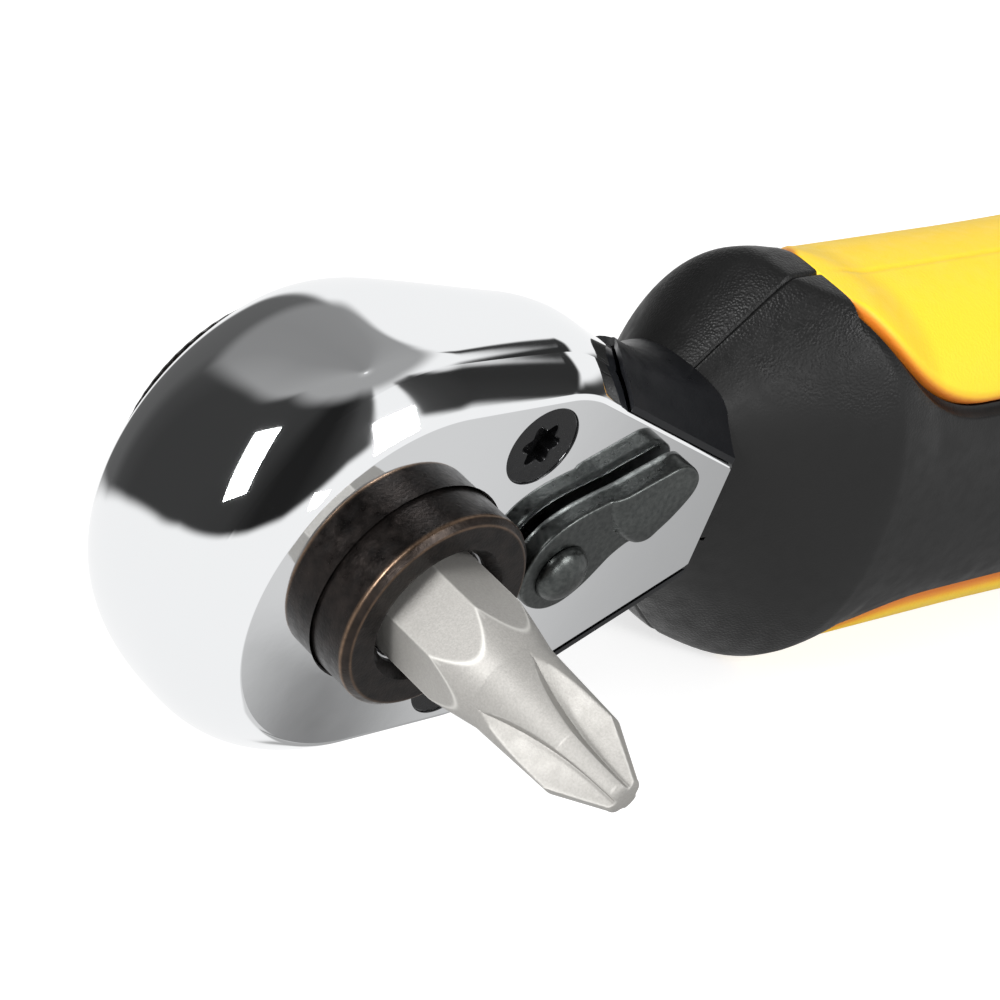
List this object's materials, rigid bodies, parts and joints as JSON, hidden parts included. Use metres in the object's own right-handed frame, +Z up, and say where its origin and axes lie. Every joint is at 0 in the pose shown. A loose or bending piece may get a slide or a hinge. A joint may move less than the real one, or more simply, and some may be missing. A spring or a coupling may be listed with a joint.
{
  "type": "ratchet bit driver",
  "caption": "Palm-sized ratchet driver: chrome head with a hex bit across it, reversing lever on its flat face and a handle with two soft inlays.",
  "frame": {"origin": "centre of the bit's blunt tip", "axes": "+X along the handle, -Y out of the bit tip, +Z up with the tool lying on its side"},
  "size_m": [0.1123, 0.0351, 0.028],
  "materials": {
    "chrome": "mirror polished chrome plate",
    "black_oxide": "black oxide, oiled",
    "black_screw": "glossy black",
    "bit_steel": "sand blasted nickel",
    "gunmetal": "cast gunmetal",
    "inner_steel": "bright steel",
    "seal_rubber": "matte",
    "collar_plastic": "smooth satin",
    "handle_plastic": "fine leather grain",
    "grip_rubber": "soft matte, golden yellow"
  },
  "bodies": {
    "head": {"head_body": "chrome", "cover_plate": "chrome", "cover_screw_upper": "black_screw", "cover_screw_lower": "black_screw", "thrust_washer": "inner_steel", "nose_collar": "collar_plastic", "handle_core": "handle_plastic", "grip_upper": "grip_rubber", "grip_lower": "grip_rubber"},
    "spindle": {"drive_spindle": "black_oxide", "front_seal": "seal_rubber", "bit_clip": "inner_steel", "spin_disc": "black_oxide", "disc_screw": "black_screw"},
    "bit": {"screwdriver_bit": "bit_steel"},
    "lever": {"reverser_lever": "gunmetal", "lever_shaft": "gunmetal", "lever_clip": "inner_steel", "plunger_spring": "inner_steel"},
    "plunger": {"pawl_plunger": "inner_steel"},
    "pawl": {"pawl": "inner_steel"}
  },
  "joints": [
    {"name": "spindle_spin", "type": "hinge", "parent": "head", "child": "spindle", "pos_m": [0, 0.0191, 0], "axis": [0, 1, 0], "continuous": true},
    {"name": "bit_pull", "type": "slide", "parent": "spindle", "child": "bit", "axis": [0, -1, 0], "range_m": [0, 0.009]},
    {"name": "lever_swing", "type": "hinge", "parent": "head", "child": "lever", "pos_m": [0.0107, 0.0191, 0], "axis": [0, 1, 0], "range_deg": [0, 60]},
    {"name": "pawl_rock", "type": "hinge", "parent": "head", "child": "pawl", "pos_m": [0.0107, 0.0191, 0], "axis": [0, 1, 0], "range_deg": [-16, 0]},
    {"name": "plunger_press", "type": "slide", "parent": "lever", "child": "plunger", "axis": [0.866, 0, 0.5], "range_m": [0, 0.0008], "stiffness_N_per_m": 200, "springref_m": 0.0008}
  ],
  "couplings": [
    {"joint": "pawl_rock", "follows": "lever_swing", "ratio": -0.2666}
  ]
}
